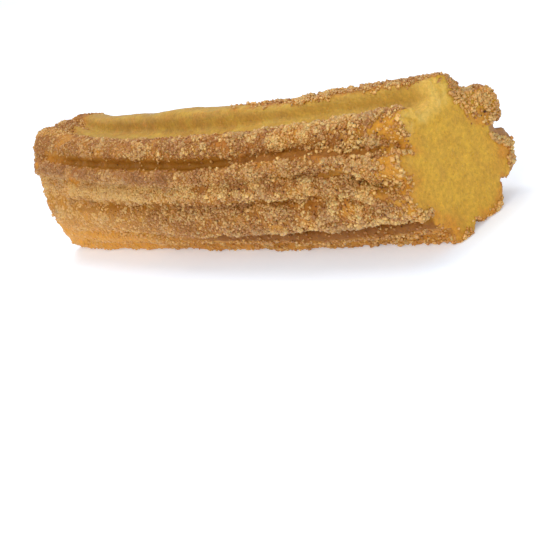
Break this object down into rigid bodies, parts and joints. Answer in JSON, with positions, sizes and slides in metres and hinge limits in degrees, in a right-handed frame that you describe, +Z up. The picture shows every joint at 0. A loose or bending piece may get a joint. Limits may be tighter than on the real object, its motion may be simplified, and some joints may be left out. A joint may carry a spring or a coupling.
{
  "type": "churro",
  "caption": "Straight cut length of ridged fried dough rolled in cinnamon sugar, with a pale crumb on its clean cut end and one bare groove along its top.",
  "frame": {"origin": "middle of the underside, on the surface that the churro lies on", "axes": "+X along the length to the clean cut end, +Z up, the middle of the churro bowed a little towards -Y"},
  "size_m": [0.1298, 0.0322, 0.028],
  "materials": {
    "fried_dough": "golden fried dough with a browned, slightly oily crust and a pale yellow crumb on the cut ends",
    "sugar": "cloudy granulated sugar crystals tinted by cinnamon",
    "cinnamon": "fine dry ground cinnamon"
  },
  "bodies": {
    "root": {"churro": "fried_dough"}
  },
  "joints": []
}
